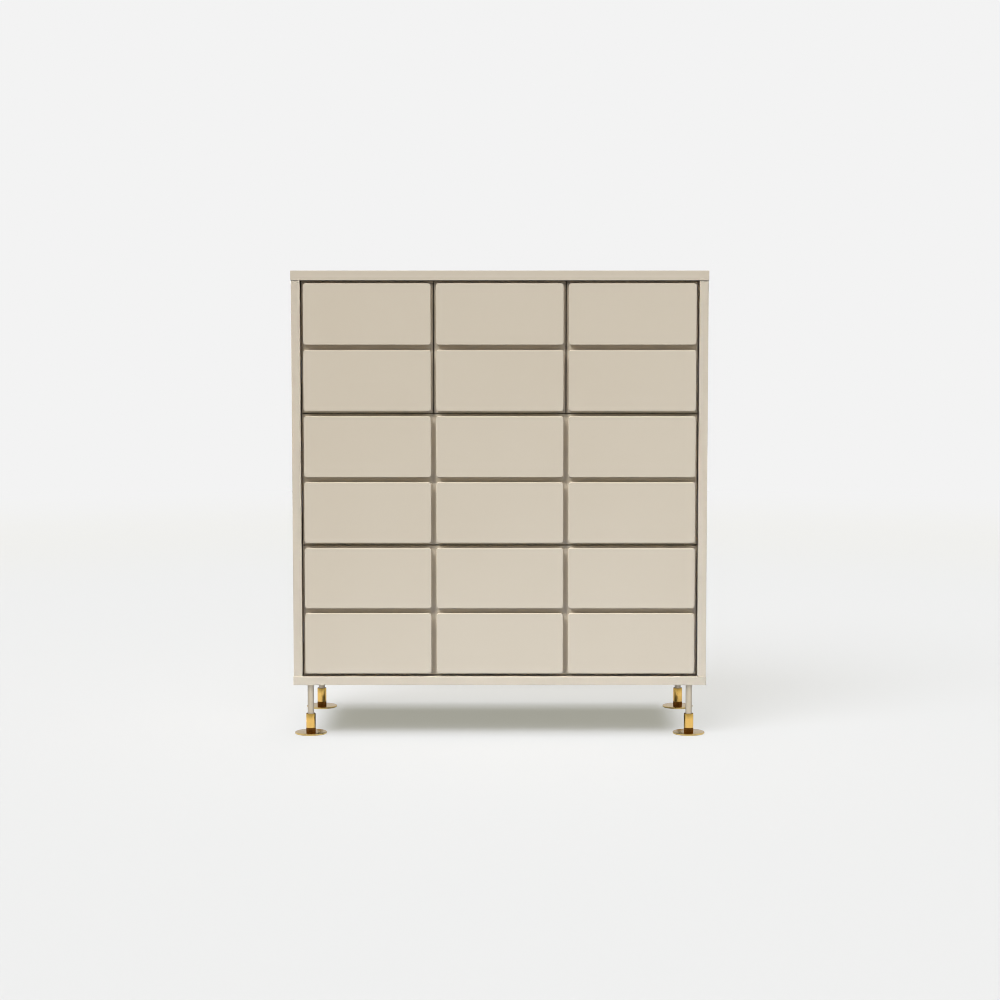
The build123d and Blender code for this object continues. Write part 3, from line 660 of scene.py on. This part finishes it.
def footProfile(size):
    disc, sleeve = size["discRadius"], size["sleeveRadius"]
    core, neck = sleeve - size["bandDepth"], sleeve - size["neckDepth"]
    top, edge, lip = size["sleeveTop"], size["discRound"], size["rimRound"]
    low, neckTop = size["discHeight"], size["bandTop"] + size["neckHeight"]
    corner = quarter(size["roundSteps"])
    profile = [(0, 0), (disc - size["discBevel"], 0), (disc, size["discBevel"])]
    profile += [(disc - edge + edge * c, low - edge + edge * s) for c, s in corner]
    profile += [(core, low), (core, size["bandTop"]), (neck, size["bandTop"])]
    profile += [(neck, neckTop - size["neckEase"]), (sleeve, neckTop + size["neckFlare"])]
    profile += [(sleeve - lip + lip * c, top - lip + lip * s) for c, s in corner]
    profile += [(size["counterRadius"], top), (size["counterRadius"], top - size["counterDepth"])]
    profile += [(size["boreRadius"], top - size["counterDepth"]), (size["boreRadius"], size["boreFloor"])]
    profile += [(0, size["boreFloor"])]
    return profile


def ridgeMould(size):  # one tooth of the knurl, a wedge along Z with eased ends, rooted in the core
    shell = bmesh.new()
    tip, root = size["sleeveRadius"], size["sleeveRadius"] - size["bandDepth"] - size["ridgeSink"]
    half = math.pi * root / size["ridges"]
    low, high, ease, end = size["discHeight"], size["bandTop"], size["ridgeEase"], size["ridgeEnd"]
    rings = []
    for z, reach in ((low, end), (low + ease, 1), (high - ease, 1), (high, end)):
        crest = root + (tip - root) * reach
        corners = ((root, -half, z), (crest, 0, z), (root, half, z))
        rings.append([shell.verts.new(Vector(corner) * mm) for corner in corners])
    bridge(shell, rings)
    shell.faces.new(rings[0])
    shell.faces.new(rings[-1])
    bmesh.ops.recalc_face_normals(shell, faces=shell.faces)
    return mould("ridge", shell)


def footTree():
    tree, given = newTree("knurledFoot", {
        "Turned": "Object", "Ridge": "Object", "Ridges": "Int", "Centre": "Vector",
        "Band middle": "Float", "Band reach": "Float", "Band radius": "Float", "Band depth": "Float",
        "Disc from": "Float", "Brass": "Material", "Disc": "Material", "Band": "Material"})
    body = addNode(tree, "GeometryNodeObjectInfo", links={"Object": given["Turned"]}).outputs["Geometry"]
    ridge = addNode(tree, "GeometryNodeObjectInfo", links={"Object": given["Ridge"]}).outputs["Geometry"]
    points = addNode(tree, "GeometryNodePoints", links={"Count": given["Ridges"]}).outputs[0]
    index = addNode(tree, "GeometryNodeInputIndex").outputs[0]
    share = addNode(tree, "ShaderNodeMath", links={0: index, 1: given["Ridges"]},
                    operation="DIVIDE").outputs[0]
    angle = addNode(tree, "ShaderNodeMath", {1: 2 * math.pi}, {0: share}, operation="MULTIPLY").outputs[0]
    spin = addNode(tree, "ShaderNodeCombineXYZ", links={"Z": angle}).outputs[0]
    knurl = addNode(tree, "GeometryNodeInstanceOnPoints",
                    links={"Points": points, "Instance": ridge, "Rotation": spin}).outputs[0]
    whole = addNode(tree, "GeometryNodeJoinGeometry", links={0: knurl})
    tree.links.new(body, whole.inputs[0])
    placed = addNode(tree, "GeometryNodeTransform",
                     links={"Geometry": whole.outputs[0], "Translation": given["Centre"]}).outputs[0]
    real = addNode(tree, "GeometryNodeRealizeInstances", links={"Geometry": placed}).outputs[0]
    spot = addNode(tree, "GeometryNodeInputPosition").outputs[0]
    where = addNode(tree, "ShaderNodeVectorMath", links={0: spot, 1: given["Centre"]},
                    operation="SUBTRACT").outputs[0]
    high = addNode(tree, "ShaderNodeSeparateXYZ", links={0: where}).outputs["Z"]
    level = addNode(tree, "ShaderNodeVectorMath", {1: (1, 1, 0)}, {0: where},
                    operation="MULTIPLY").outputs[0]
    out = addNode(tree, "ShaderNodeVectorMath", links={0: level}, operation="LENGTH").outputs["Value"]
    disc = addNode(tree, "ShaderNodeMath", links={0: out, 1: given["Disc from"]},
                   operation="GREATER_THAN").outputs[0]
    inBand = addNode(tree, "ShaderNodeMath", operation="COMPARE", links={
        0: high, 1: given["Band middle"], 2: given["Band reach"]}).outputs[0]
    onBand = addNode(tree, "ShaderNodeMath", operation="COMPARE", links={
        0: out, 1: given["Band radius"], 2: given["Band depth"]}).outputs[0]
    band = addNode(tree, "ShaderNodeMath", links={0: inBand, 1: onBand}, operation="MULTIPLY").outputs[0]
    bright = addNode(tree, "GeometryNodeSetMaterial",
                     links={"Geometry": real, "Material": given["Brass"]}).outputs[0]
    brushed = addNode(tree, "GeometryNodeSetMaterial",
                      links={"Geometry": bright, "Selection": disc, "Material": given["Disc"]}).outputs[0]
    dark = addNode(tree, "GeometryNodeSetMaterial",
                   links={"Geometry": brushed, "Selection": band, "Material": given["Band"]}).outputs[0]
    addNode(tree, "NodeGroupOutput", links={0: dark})
    return tree


def makeFeet(size):
    tree = footTree()
    body = mould("turnedFoot", turned(footProfile(size), size["steps"]))
    ridge = ridgeMould(size)
    bandEnd = size["bandTop"] + size["neckHeight"]
    for foot in feet:
        node = foot + "_foot"
        low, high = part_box(node)
        piece = grow(foot + "_brass_foot", tree, {
            "Turned": body, "Ridge": ridge, "Ridges": size["ridges"],
            "Brass": brass, "Disc": discBrass, "Band": bandBrass,
            "Disc from": (size["sleeveRadius"] + size["discMargin"]) * mm,
            "Band middle": (size["discHeight"] + bandEnd) / 2 * mm,
            "Band reach": (bandEnd - size["discHeight"]) / 2 * mm,
            "Band radius": size["sleeveRadius"] * mm, "Band depth": 2 * size["bandDepth"] * mm,
            "Centre": Vector(((low.x + high.x) / 2, (low.y + high.y) / 2, low.z))})
        openEdges = closeShell(piece.data)
        dress(piece, node, "polished_brass", node)
        print(piece.name, "open edges:", openEdges)
    bpy.data.objects.remove(body)
    bpy.data.objects.remove(ridge)


makeFeet(footSize)

# Posts: four turned steel rods in the body colour

postSize = dict(radius=7, ease=0.5, floor=20.3, seat=112.5, studRadius=4, studTop=124.5, steps=64)


def postTree():
    tree, given = newTree("legPosts", {
        "Post": "Object", "Span X": "Float", "Span Y": "Float", "Lacquer": "Material"})
    post = addNode(tree, "GeometryNodeObjectInfo", links={"Object": given["Post"]}).outputs["Geometry"]
    corners = addNode(tree, "GeometryNodeMeshGrid", {"Vertices X": 2, "Vertices Y": 2},
                      {"Size X": given["Span X"], "Size Y": given["Span Y"]}).outputs["Mesh"]
    posts = addNode(tree, "GeometryNodeInstanceOnPoints",
                    links={"Points": corners, "Instance": post}).outputs[0]
    real = addNode(tree, "GeometryNodeRealizeInstances", links={"Geometry": posts}).outputs[0]
    painted = addNode(tree, "GeometryNodeSetMaterial",
                      links={"Geometry": real, "Material": given["Lacquer"]}).outputs[0]
    addNode(tree, "NodeGroupOutput", links={0: painted})
    return tree


def makePosts(size):
    radius, ease, stud = size["radius"], size["ease"], size["studRadius"]
    profile = [(0, size["floor"]), (radius - ease, size["floor"]), (radius, size["floor"] + ease),
               (radius, size["seat"]), (stud, size["seat"]), (stud, size["studTop"] - ease),
               (stud - ease, size["studTop"]), (0, size["studTop"])]
    post = mould("post", turned(profile, size["steps"]))
    low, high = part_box("leg_posts")
    piece = grow("lacquered_leg_posts", postTree(), {
        "Post": post, "Lacquer": postLacquer,
        "Span X": high.x - low.x - 2 * radius * mm, "Span Y": high.y - low.y - 2 * radius * mm})
    openEdges = closeShell(piece.data)
    bpy.data.objects.remove(post)
    dress(piece, "carcass", "lacquered_steel", "leg_posts")
    litLegs.objects.link(piece)
    print(piece.name, "open edges:", openEdges)


makePosts(postSize)

# Back screws: pan heads with a cross recess

screwSize = dict(radius=3.5, height=1.6, brim=0.6, shank=1.75, length=15, point=2.5, slotReach=1.9,
                 slotHalf=0.45, slotDepth=0.9, slotTaper=0.6, seed=4, steps=40, roundSteps=4)


def islandBoxes(node, weld=0.01):  # the box round each loose part of a CAD node
    shell = bmesh.new()
    shell.from_mesh(node.data)
    bmesh.ops.remove_doubles(shell, verts=shell.verts, dist=weld * mm)
    waiting = dict.fromkeys(shell.verts)  # keeps the mesh's order, so that every run turns the screws alike
    boxes = []
    while waiting:
        reached = [waiting.popitem()[0]]
        for vert in reached:
            for edge in vert.link_edges:
                other = edge.other_vert(vert)
                if other in waiting:
                    del waiting[other]
                    reached.append(other)
        places = [node.matrix_world @ vert.co for vert in reached]
        boxes.append([Vector([pick(place[i] for place in places) for i in range(3)]) for pick in (min, max)])
    shell.free()
    return boxes


def recessMould(size):  # a tapered cross, sunk into the top of the head
    shell = bmesh.new()
    reach, half = size["slotReach"], size["slotHalf"]
    arm = ((reach, -half), (reach, half), (half, half))
    rings = []
    for lift, scale in ((-1, size["slotTaper"]), (0, 1), (1, 1)):
        ring = []
        z = size["height"] + lift * size["slotDepth"]
        for k in range(4):
            c, s = round(math.cos(math.pi / 2 * k)), round(math.sin(math.pi / 2 * k))
            for x, y in arm:
                place = (scale * (c * x - s * y), scale * (s * x + c * y), z)
                ring.append(shell.verts.new(Vector(place) * mm))
        rings.append(ring)
    bridge(shell, rings)
    shell.faces.new(rings[0])
    shell.faces.new(rings[-1])
    bmesh.ops.recalc_face_normals(shell, faces=shell.faces)
    return mould("crossRecess", shell)


def screwTree():
    tree, given = newTree("crossScrews", {
        "Places": "Geometry", "Blank": "Object", "Recess": "Object", "Seed": "Int", "Zinc": "Material"})
    blank = addNode(tree, "GeometryNodeObjectInfo", links={"Object": given["Blank"]}).outputs["Geometry"]
    recess = addNode(tree, "GeometryNodeObjectInfo", links={"Object": given["Recess"]}).outputs["Geometry"]
    head = addNode(tree, "GeometryNodeMeshBoolean", links={"Mesh 1": blank, "Mesh 2": recess},
                   operation="DIFFERENCE", solver="EXACT")
    spin = addNode(tree, "FunctionNodeRandomValue", {"Max": math.pi / 2}, {"Seed": given["Seed"]},
                   data_type="FLOAT")
    angle = next(socket for socket in spin.outputs if socket.enabled)
    turn = addNode(tree, "ShaderNodeCombineXYZ", {"X": -math.pi / 2}, {"Y": angle}).outputs[0]
    screws = addNode(tree, "GeometryNodeInstanceOnPoints", links={
        "Points": given["Places"], "Instance": head.outputs["Mesh"], "Rotation": turn}).outputs[0]
    real = addNode(tree, "GeometryNodeRealizeInstances", links={"Geometry": screws}).outputs[0]
    plated = addNode(tree, "GeometryNodeSetMaterial",
                     links={"Geometry": real, "Material": given["Zinc"]}).outputs[0]
    addNode(tree, "NodeGroupOutput", links={0: plated})
    return tree


def makeScrews(size):
    crown = size["height"] - size["brim"]
    profile = [(0, -size["length"]), (size["shank"], size["point"] - size["length"]), (size["shank"], 0),
               (size["radius"], 0)]
    rise = quarter(size["roundSteps"])
    profile += [(size["radius"] - crown + crown * c, size["brim"] + crown * s) for c, s in rise]
    profile += [(0, size["height"])]
    blank = mould("screwBlank", turned(profile, size["steps"]))
    places = bpy.data.meshes.new("screwPlaces")
    places.from_pydata([((low.x + high.x) / 2, high.y - size["height"] * mm, (low.z + high.z) / 2)
                        for low, high in islandBoxes(nodes["back_panel_screws"])], [], [])
    recess = recessMould(size)
    piece = grow("cross_recess_screws", screwTree(), {
        "Blank": blank, "Recess": recess, "Seed": size["seed"], "Zinc": zinc}, places)
    openEdges = closeShell(piece.data)
    bpy.data.objects.remove(blank)
    bpy.data.objects.remove(recess)
    dress(piece, "carcass", "zinc_plated_steel", "back_panel_screws")
    print(piece.name, len(places.vertices), "screws, open edges:", openEdges)


makeScrews(screwSize)

# Which suns light which pieces

lightSets = dict(level=("top_panel",), levelParts=("_drawer_", "_middle_runners"),
                 elsewhere=("paperFloor", "shadowCard", "lacquered_leg_posts"))


def shareLight(sets):
    for piece in scene.collection.all_objects:
        inDrawer = any(part in piece.name for part in sets["levelParts"])
        if inDrawer or piece.name in sets["level"]:
            litLevel.objects.link(piece)
        elif piece.type == "MESH" and piece.name not in sets["elsewhere"]:
            litChest.objects.link(piece)
            if not piece.name.endswith("_padded_front"):
                litBack.objects.link(piece)
        if piece.name.endswith("_brass_foot"):
            nearFloor.objects.link(piece)


shareLight(lightSets)
print("lights shared out")
